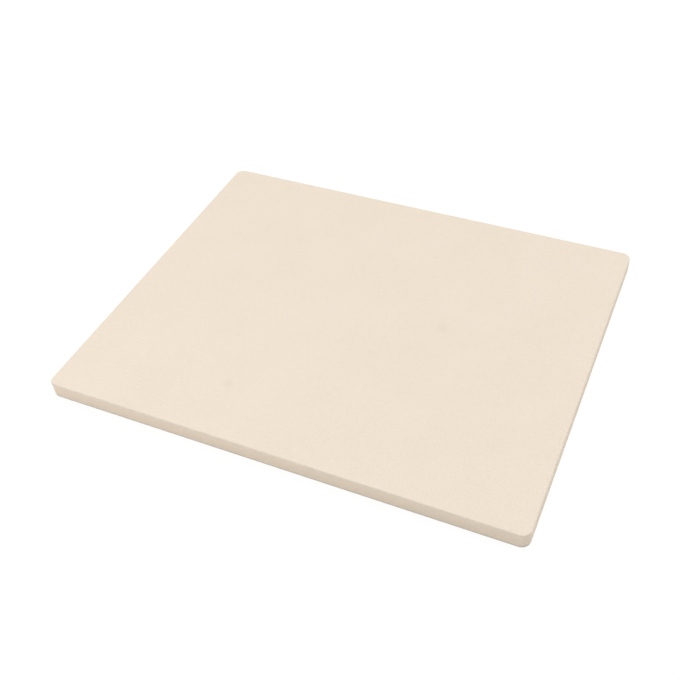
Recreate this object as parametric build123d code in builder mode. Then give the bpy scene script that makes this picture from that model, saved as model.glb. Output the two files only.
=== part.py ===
from build123d import *
import os

# Pizza stone: one plain rectangular slab of pressed and fired cordierite, baked on from above and
# laid flat on an oven shelf. The origin is at the centre of the underside, with +X along the long
# side, +Y across to the far side and +Z up to the baking face. Sizes are in millimetres.

# Slab as pressed
slab_length = 381.0
slab_depth = 304.8
slab_thickness = 12.7

# Plan corners, rounded by the mould's cavity
corner_radius = 7.0

# Arris round the baking face, rounded by the upper punch so that dough and hands meet no sharp edge
face_arris_radius = 1.0

# Smaller arris round the underside, left by fettling the pressed slab before it is fired
foot_arris_radius = 0.5

os.makedirs("parts", exist_ok=True)

with BuildPart() as stone_slab:
    with BuildSketch(Plane.XY) as slab_plan:
        RectangleRounded(slab_length, slab_depth, corner_radius)
    extrude(amount=slab_thickness)
    baking_face = stone_slab.faces().sort_by(Axis.Z)[-1]
    fillet(baking_face.edges(), face_arris_radius)
    underside = stone_slab.faces().sort_by(Axis.Z)[0]
    fillet(underside.edges(), foot_arris_radius)
stone_slab.part.label = "stone_slab"

export_step(stone_slab.part, "parts/stone_slab.step")
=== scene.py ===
import math

import bmesh
import bpy
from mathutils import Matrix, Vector


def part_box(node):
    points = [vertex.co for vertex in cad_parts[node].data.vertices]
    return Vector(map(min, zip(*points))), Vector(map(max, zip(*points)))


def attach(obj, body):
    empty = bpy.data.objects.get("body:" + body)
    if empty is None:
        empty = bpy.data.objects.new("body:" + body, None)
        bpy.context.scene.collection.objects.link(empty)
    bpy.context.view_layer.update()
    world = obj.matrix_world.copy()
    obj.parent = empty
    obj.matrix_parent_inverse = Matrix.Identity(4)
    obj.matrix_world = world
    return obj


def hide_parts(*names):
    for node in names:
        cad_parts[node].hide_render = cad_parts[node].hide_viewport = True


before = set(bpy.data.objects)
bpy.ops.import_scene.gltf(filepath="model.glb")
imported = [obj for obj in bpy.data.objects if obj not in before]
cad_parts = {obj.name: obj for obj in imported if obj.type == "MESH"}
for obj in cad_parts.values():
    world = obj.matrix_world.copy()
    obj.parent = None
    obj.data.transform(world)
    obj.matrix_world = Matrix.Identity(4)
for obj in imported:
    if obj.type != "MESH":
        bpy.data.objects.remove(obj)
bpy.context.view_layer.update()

mm = 0.001

# Stone slab
# One piece of cordierite, a porous heat-proof ceramic. A coarse, slightly damp powder is pressed in
# a steel mould, the edges are rubbed down while it is green, and it is fired once, without a glaze.
slab_low, slab_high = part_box("stone_slab")
slab_size = slab_high - slab_low
slab_half = slab_size / 2
corner_radius = 7 * mm
corner_segments = 14
face_arris = 1 * mm
face_arris_segments = 8
foot_arris = 0.5 * mm
foot_arris_segments = 6
grid_step = 6 * mm
wall_rows = 5
along_arris_cuts = 5
close = 0.01 * mm

bpy.ops.object.select_all(action="DESELECT")
bpy.ops.mesh.primitive_cube_add(size=1, location=(slab_low + slab_high) / 2, scale=slab_size)
slab = bpy.context.active_object
slab.name = "fired_slab"
bpy.ops.object.transform_apply(location=True, rotation=True, scale=True)


def pick_edges(belongs):
    """Selects the slab's edges for which belongs(first corner, second corner) holds, in edit mode."""
    bpy.ops.mesh.select_all(action="DESELECT")
    bpy.ops.mesh.select_mode(type="EDGE")
    cage = bmesh.from_edit_mesh(slab.data)
    for edge in cage.edges:
        edge.select_set(belongs(edge.verts[0].co, edge.verts[1].co))
    bmesh.update_edit_mesh(slab.data)


def round_off(belongs, radius, segments):
    """Rounds the edges for which belongs(first corner, second corner) holds to an arc."""
    pick_edges(belongs)
    bpy.ops.mesh.bevel(offset=radius, segments=segments, profile=0.5, affect="EDGES")


def cut_across(axis, first, last, spaces):
    """Cuts the whole slab by evenly spaced planes square to an axis."""
    across = Vector((0, 0, 0))
    across[axis] = 1
    for line in range(spaces + 1):
        bpy.ops.mesh.select_all(action="SELECT")
        bpy.ops.mesh.bisect(plane_co=across * (first + line * (last - first) / spaces), plane_no=across)


def inset(point):
    """How far a point of the slab lies inside its rounded outline, seen from above."""
    past = [abs(point[i]) - (slab_half[i] - corner_radius) for i in range(2)]
    round_part = math.hypot(max(past[0], 0), max(past[1], 0))
    return corner_radius - round_part - min(max(past[0], past[1]), 0)


# The plan corners, then the arris round the baking face, then the smaller one round the underside
bpy.ops.object.mode_set(mode="EDIT")
round_off(lambda a, b: abs(a.z - b.z) > slab_half.z, corner_radius, corner_segments)
round_off(lambda a, b: min(a.z, b.z) > slab_high.z - close, face_arris, face_arris_segments)
round_off(lambda a, b: max(a.z, b.z) < slab_low.z + close, foot_arris, foot_arris_segments)

# Lines across both faces and round the walls, so that the pressed faces can be a little uneven
for side in range(2):
    reach = slab_half[side] - corner_radius
    cut_across(side, -reach, reach, round(2 * reach / grid_step))
cut_across(2, slab_low.z + 2 * foot_arris, slab_high.z - 2 * face_arris, wall_rows)

# Shorter steps along the walls and arrises, where the edge shows its wear
pick_edges(
    lambda a, b: abs(a.z - b.z) < close
    and (a - b).length > grid_step / 2
    and inset((a + b) / 2) < face_arris + close
)
bpy.ops.mesh.subdivide(number_cuts=along_arris_cuts)
bpy.ops.mesh.select_all(action="SELECT")
bpy.ops.mesh.normals_make_consistent(inside=False)
bpy.ops.object.mode_set(mode="OBJECT")

# How far the wear takes to fade: inwards on the faces, up and down on the walls, and as a multiple
# of their radius at the arrises
face_fade = 10 * mm
wall_fade = 1 * mm
arris_spread = 1.5


def weigh(name, share):
    """Makes a vertex group in which each point of the slab has the weight share(point)."""
    group = slab.vertex_groups.new(name=name)
    for vertex in slab.data.vertices:
        group.add([vertex.index], share(vertex.co), "REPLACE")


def wear(name, scale, depth, where, contrast=1, brightness=1):
    """Presses the slab in, never out, by clouds of the given scale: high contrast leaves a few dents."""
    pattern = bpy.data.textures.new(name, type="CLOUDS")
    pattern.noise_scale = scale
    pattern.contrast = contrast
    pattern.intensity = brightness
    pattern.use_clamp = True
    bpy.ops.object.modifier_add(type="DISPLACE")
    press = slab.modifiers[-1]
    press.texture = pattern
    press.texture_coords = "LOCAL"
    press.direction = "NORMAL"
    press.mid_level = 0
    press.strength = -depth
    press.vertex_group = where
    bpy.ops.object.modifier_apply(modifier=press.name)


def face_share(point):
    """1 on the flat of both faces, falling to 0 at the arris, so that the outline keeps its size."""
    return min(max(inset(point) - 2 * face_arris, 0) / face_fade, 1)


def arris_share(point):
    """Highest at the middle of an arris, falling to 0 half a radius past it on face and wall."""
    arris = face_arris if point.z > slab_half.z else foot_arris
    down = min(slab_high.z - point.z, point.z - slab_low.z)
    return max(1 - (down + inset(point)) / (arris_spread * arris), 0)


def wall_share(point):
    """1 on the flat of the walls, 0 on the faces and arrises."""
    down = min(slab_high.z - point.z - face_arris, point.z - slab_low.z - foot_arris)
    return min(max(down, 0) / wall_fade, 1) if inset(point) < close else 0


weigh("faces", face_share)
weigh("arrises", arris_share)
weigh("walls", wall_share)
wear("press_waves", scale=90 * mm, depth=0.12 * mm, where="faces")
wear("wall_waves", scale=22 * mm, depth=0.05 * mm, where="walls")
wear("rubbed_edge", scale=7 * mm, depth=0.06 * mm, where="arrises")
wear("edge_nicks", scale=4 * mm, depth=0.12 * mm, where="arrises", contrast=5, brightness=0)
slab.vertex_groups.clear()

bpy.ops.object.shade_smooth()
bpy.ops.object.modifier_add(type="WEIGHTED_NORMAL")
bpy.ops.object.modifier_apply(modifier=slab.modifiers[-1].name)

# The fired clay: a pale buff body with coarser grains, a few iron specks and open pores, a little
# warmer where the kiln's draught was weaker, rubbed paler along the arrises and drawn on the walls.
# From the setter that it lay on in the kiln, the underside has a faint bloom. The foot of the walls
# has a thin grey line of painted contact shade.
clay_pale = (0.902, 0.793, 0.666, 1)
clay_warm = (0.890, 0.778, 0.646, 1)
# The walls' tint, warmer and more saturated than the faces: painted tone of the shaded walls
wall_shade_tint = (0.916, 0.782, 0.626, 1)
grog_brown = (0.66, 0.52, 0.38, 1)
iron_speck = (0.52, 0.34, 0.19, 1)
pore_dark = (0.50, 0.40, 0.30, 1)
rubbed_pale = (0.90, 0.81, 0.70, 1)
setter_bloom = (0.80, 0.65, 0.49, 1)
# The grey of the painted contact shade at the foot of the walls
contact_shade_grey = (0.60, 0.56, 0.50, 1)
handling_grey = (0.64, 0.57, 0.48, 1)

clay = bpy.data.materials.new("fired_cordierite")
clay.use_nodes = True
clay_nodes = clay.node_tree.nodes
clay_links = clay.node_tree.links
clay_shader = clay_nodes["Principled BSDF"]
on_slab = clay_nodes.new("ShaderNodeTexCoord").outputs["Object"]


def feed(socket, value):
    """Links a socket to another node's output, or writes a plain value in it."""
    if isinstance(value, bpy.types.NodeSocket):
        clay_links.new(value, socket)
    else:
        socket.default_value = value


def noise(size, detail, roughness, at=on_slab):
    """A cloud value from 0 to 1 whose patches are about size across."""
    cloud = clay_nodes.new("ShaderNodeTexNoise")
    feed(cloud.inputs["Vector"], at)
    feed(cloud.inputs["Scale"], 1 / size)
    feed(cloud.inputs["Detail"], detail)
    feed(cloud.inputs["Roughness"], roughness)
    return cloud.outputs["Fac"]


def ramp(value, low, high, to_low=0.0, to_high=1.0):
    """Spreads a value from low..high smoothly over to_low..to_high, and holds it there outside."""
    spread = clay_nodes.new("ShaderNodeMapRange")
    spread.interpolation_type = "SMOOTHSTEP"
    feed(spread.inputs["Value"], value)
    feed(spread.inputs["From Min"], low)
    feed(spread.inputs["From Max"], high)
    feed(spread.inputs["To Min"], to_low)
    feed(spread.inputs["To Max"], to_high)
    return spread.outputs["Result"]


def calc(operation, first, second=0.0):
    """One step of arithmetic on two values."""
    step = clay_nodes.new("ShaderNodeMath")
    step.operation = operation
    feed(step.inputs[0], first)
    feed(step.inputs[1], second)
    return step.outputs["Value"]


def tint(under, over, share):
    """Lays the colour over on the colour under, by a share from 0 to 1."""
    lay = clay_nodes.new("ShaderNodeMixRGB")
    feed(lay.inputs["Fac"], share)
    feed(lay.inputs["Color1"], under)
    feed(lay.inputs["Color2"], over)
    return lay.outputs["Color"]


def dots(spacing, radius, kept):
    """1 inside round dots up to the given radius, in the kept share of cells of the given spacing."""
    cells = clay_nodes.new("ShaderNodeTexVoronoi")
    feed(cells.inputs["Vector"], on_slab)
    feed(cells.inputs["Scale"], 1 / spacing)
    chance = clay_nodes.new("ShaderNodeSeparateColor")
    feed(chance.inputs["Color"], cells.outputs["Color"])
    dot_size = calc("MULTIPLY", chance.outputs["Green"], radius / spacing)
    inside = calc("SUBTRACT", dot_size, cells.outputs["Distance"])
    round_dot = ramp(inside, 0, radius / spacing / 3)
    return calc("MULTIPLY", round_dot, calc("LESS_THAN", chance.outputs["Red"], kept))


# Which part of the slab a point is on, from the way its surface faces
facing = clay_nodes.new("ShaderNodeSeparateXYZ")
feed(facing.inputs["Vector"], clay_nodes.new("ShaderNodeNewGeometry").outputs["Normal"])
lies_flat = calc("ABSOLUTE", facing.outputs["Z"])
on_wall = ramp(lies_flat, 0.25, 0.6, 1, 0)
on_underside = ramp(facing.outputs["Z"], -0.9, -0.6, 1, 0)
on_arris = calc("MULTIPLY", ramp(lies_flat, 0.1, 0.5), ramp(lies_flat, 0.75, 0.97, 1, 0))

mottle = ramp(noise(size=45 * mm, detail=3, roughness=0.5), 0.3, 0.7)
sand = noise(size=0.22 * mm, detail=2, roughness=0.7)
grain = noise(size=0.8 * mm, detail=3, roughness=0.65)
grit = noise(size=2.2 * mm, detail=2, roughness=0.6)
grog = dots(spacing=1.3 * mm, radius=0.32 * mm, kept=0.5)
specks = dots(spacing=5.5 * mm, radius=0.5 * mm, kept=0.4)
pores = dots(spacing=3.1 * mm, radius=0.36 * mm, kept=0.6)

# Fine upright lines that the mould's wall draws on the slab as it is pushed out
line_squeeze = 0.06
upright = clay_nodes.new("ShaderNodeMapping")
feed(upright.inputs["Vector"], on_slab)
feed(upright.inputs["Scale"], (1, 1, line_squeeze))
lines = noise(size=1.1 * mm, detail=2, roughness=0.6, at=upright.outputs["Vector"])
drawn = calc("MULTIPLY", lines, on_wall)

# A thin grey line of painted contact shade along the foot of the walls, fading out about 2 mm up
up_slab = clay_nodes.new("ShaderNodeSeparateXYZ")
feed(up_slab.inputs["Vector"], on_slab)
painted_foot_shade = calc("MULTIPLY", ramp(up_slab.outputs["Z"], 0.8 * mm, 2.2 * mm, 1, 0), on_wall)

# Two faint marks of handling on the baking face
mark_radius = 7 * mm
marks = 0.0
for mark_place in ((-59 * mm, -103 * mm), (71 * mm, 11 * mm)):
    away = clay_nodes.new("ShaderNodeVectorMath")
    away.operation = "DISTANCE"
    feed(away.inputs[0], on_slab)
    feed(away.inputs[1], (*mark_place, slab_high.z))
    marks = calc("ADD", marks, ramp(away.outputs["Value"], 0, mark_radius, 1, 0))

# The colours, each laid over the ones before it by its share
spot_share = 0.3
body = tint(clay_pale, clay_warm, mottle)
for colour, share in (
    # Painted shade tone on the walls
    (wall_shade_tint, on_wall),
    (setter_bloom, calc("MULTIPLY", on_underside, ramp(mottle, 0.3, 1, 0.05, 0.35))),
    (rubbed_pale, calc("MULTIPLY", on_arris, ramp(grit, 0.35, 0.6, 0.1, 0.5))),
    # Painted contact shade along the foot of the walls
    (contact_shade_grey, calc("MULTIPLY", painted_foot_shade, ramp(grit, 0.3, 0.7, 0.4, 0.6))),
    (handling_grey, calc("MULTIPLY", marks, ramp(grit, 0.3, 0.7, 0.15, 0.25))),
    (pore_dark, ramp(grain, 0.25, 0.5, 0.10, 0)),
    (rubbed_pale, ramp(grain, 0.5, 0.75, 0, 0.25)),
    (pore_dark, ramp(sand, 0.3, 0.5, 0.42, 0)),
    (rubbed_pale, ramp(sand, 0.5, 0.7, 0, 1)),
    (grog_brown, calc("MULTIPLY", grog, spot_share)),
    (grog_brown, ramp(grit, 0.3, 0.7, 0.04, 0)),
    (iron_speck, calc("MULTIPLY", specks, spot_share)),
    (pore_dark, calc("MULTIPLY", pores, spot_share)),
    (pore_dark, ramp(drawn, 0.5, 0.8, 0, 0.05)),
):
    body = tint(body, colour, share)
feed(clay_shader.inputs["Base Color"], body)

# Matt all over, and a touch smoother where the arrises are rubbed
rubbed_smoother = 0.06
dull = calc("SUBTRACT", ramp(grain, 0.3, 0.7, 0.80, 0.94), calc("MULTIPLY", on_arris, rubbed_smoother))
feed(clay_shader.inputs["Roughness"], dull)
feed(clay_shader.inputs["Specular IOR Level"], 0.3)

# How far each pattern stands up from the surface, with the pores sunk into it
height = 0.0
for pattern, rise in (
    (grain, 0.07 * mm),
    (sand, 0.09 * mm),
    (grit, 0.06 * mm),
    (drawn, 0.05 * mm),
    (pores, -0.30 * mm),
):
    height = calc("ADD", height, calc("MULTIPLY", pattern, rise))
relief = clay_nodes.new("ShaderNodeBump")
feed(relief.inputs["Height"], height)
feed(relief.inputs["Distance"], 1)
feed(relief.inputs["Strength"], 1)
feed(clay_shader.inputs["Normal"], relief.outputs["Normal"])
slab.data.materials.append(clay)

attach(slab, "root")
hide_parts("stone_slab")

# Floor
# A seamless sheet of white paper, seen as an even white, as in a photo exposed for a white ground.
# Round the slab a little of the lit paper shows through it and keeps the slab's shadow, and in the
# crack at the slab's foot there is lit paper alone, its colour darkened by its occlusion there as a
# painted contact shade, so that the dark line of contact shows.
floor_size = 30
paper_colour = (0.9, 0.9, 0.9, 1)
white_strength = 1.02
white_by_slab = 0.91
shadow_reach = 60 * mm
contact_reach = 0.2 * mm
bpy.ops.mesh.primitive_plane_add(size=floor_size, location=(0, 0, slab_low.z))
floor = bpy.context.active_object
floor.name = "studio_floor"
paper = bpy.data.materials.new("white_paper")
paper.use_nodes = True
paper_nodes = paper.node_tree.nodes
paper_links = paper.node_tree.links
paper_nodes.clear()


def seen_ray(nodes, links):
    """1 for a ray that the camera sends, straight or by way of a mirror or glass."""
    path = nodes.new("ShaderNodeLightPath")
    seen = path.outputs["Is Camera Ray"]
    for also in ("Is Glossy Ray", "Is Transmission Ray"):
        either = nodes.new("ShaderNodeMath")
        either.operation = "MAXIMUM"
        links.new(seen, either.inputs[0])
        links.new(path.outputs[also], either.inputs[1])
        seen = either.outputs["Value"]
    return seen


def open_within(reach):
    """How open the paper is to the sky, from 0 to 1, counting only what stands within reach."""
    sky_seen = paper_nodes.new("ShaderNodeAmbientOcclusion")
    sky_seen.inputs["Color"].default_value = paper_colour
    sky_seen.inputs["Distance"].default_value = reach
    return sky_seen


def white_from(openness, low, high, least):
    """The share of even white at an openness: least up to low, rising to all of it at high."""
    spread = paper_nodes.new("ShaderNodeMapRange")
    spread.interpolation_type = "SMOOTHSTEP"
    paper_links.new(openness, spread.inputs["Value"])
    spread.inputs["From Min"].default_value = low
    spread.inputs["From Max"].default_value = high
    spread.inputs["To Min"].default_value = least
    spread.inputs["To Max"].default_value = 1
    return spread.outputs["Result"]


foot_crack = open_within(contact_reach)
round_slab = open_within(shadow_reach)
lit_paper = paper_nodes.new("ShaderNodeBsdfDiffuse")
# The paper's colour darkened by occlusion in the crack at the slab's foot: painted contact shade
paper_links.new(foot_crack.outputs["Color"], lit_paper.inputs["Color"])
even_white = paper_nodes.new("ShaderNodeEmission")
even_white.inputs["Strength"].default_value = white_strength
white_share = seen_ray(paper_nodes, paper_links)
for limit in (
    white_from(foot_crack.outputs["AO"], low=0.5, high=0.8, least=0),
    white_from(round_slab.outputs["AO"], low=0.55, high=0.9, least=white_by_slab),
):
    both = paper_nodes.new("ShaderNodeMath")
    both.operation = "MULTIPLY"
    paper_links.new(white_share, both.inputs[0])
    paper_links.new(limit, both.inputs[1])
    white_share = both.outputs["Value"]
blend = paper_nodes.new("ShaderNodeMixShader")
paper_links.new(white_share, blend.inputs["Fac"])
paper_links.new(lit_paper.outputs["BSDF"], blend.inputs[1])
paper_links.new(even_white.outputs["Emission"], blend.inputs[2])
surface = paper_nodes.new("ShaderNodeOutputMaterial")
paper_links.new(blend.outputs["Shader"], surface.inputs["Surface"])
floor.data.materials.append(paper)

# Light
# A white tent, with a very large soft lamp far behind the slab and weaker ones at the near left and
# at the right.
tent_glow = 0.32
tent = bpy.data.worlds.new("light_tent")
bpy.context.scene.world = tent
tent.use_nodes = True
tent_nodes = tent.node_tree.nodes
tent_links = tent.node_tree.links
tent_nodes.clear()
glow = tent_nodes.new("ShaderNodeMapRange")
glow.inputs["To Min"].default_value = tent_glow
glow.inputs["To Max"].default_value = 1
tent_links.new(seen_ray(tent_nodes, tent_links), glow.inputs["Value"])
backdrop = tent_nodes.new("ShaderNodeBackground")
backdrop.inputs["Color"].default_value = (1, 1, 1, 1)
tent_links.new(glow.outputs["Result"], backdrop.inputs["Strength"])
around = tent_nodes.new("ShaderNodeOutputWorld")
tent_links.new(backdrop.outputs["Background"], around.inputs["Surface"])

for lamp_name, lamp_place, lamp_size, watts in (
    ("back_soft_box", (0.5, 9.4, 8.8), 5.6, 1000),
    ("near_left_soft_box", (-1.2, -1.3, 1.1), 1.0, 15.6),
    ("right_soft_box", (1.7, 0, 1.5), 1.6, 9.9),
):
    bpy.ops.object.light_add(type="AREA", location=lamp_place)
    lamp = bpy.context.active_object
    lamp.name = lamp_name
    lamp.data.shape = "SQUARE"
    lamp.data.size = lamp_size
    lamp.data.energy = watts
    lamp.rotation_euler = (-Vector(lamp_place)).to_track_quat("-Z", "Y").to_euler()

# Camera
# It stands in front of the near right corner and looks down at about 44 degrees. The lens is shifted
# a little, because the photo seems to be cropped to one side of its middle.
camera_place = (248.94 * mm, -489.95 * mm, 522.45 * mm)
camera_turn = (45.516, 2.643, 23.365)
bpy.ops.object.camera_add(location=camera_place)
camera = bpy.context.active_object
camera.rotation_euler = [math.radians(turn) for turn in camera_turn]
camera.data.lens = 49.064
camera.data.sensor_width = 36
camera.data.shift_x = -0.04044
camera.data.clip_start = 10 * mm
camera.data.clip_end = 50
bpy.context.scene.camera = camera
bpy.context.scene.view_settings.view_transform = "Standard"
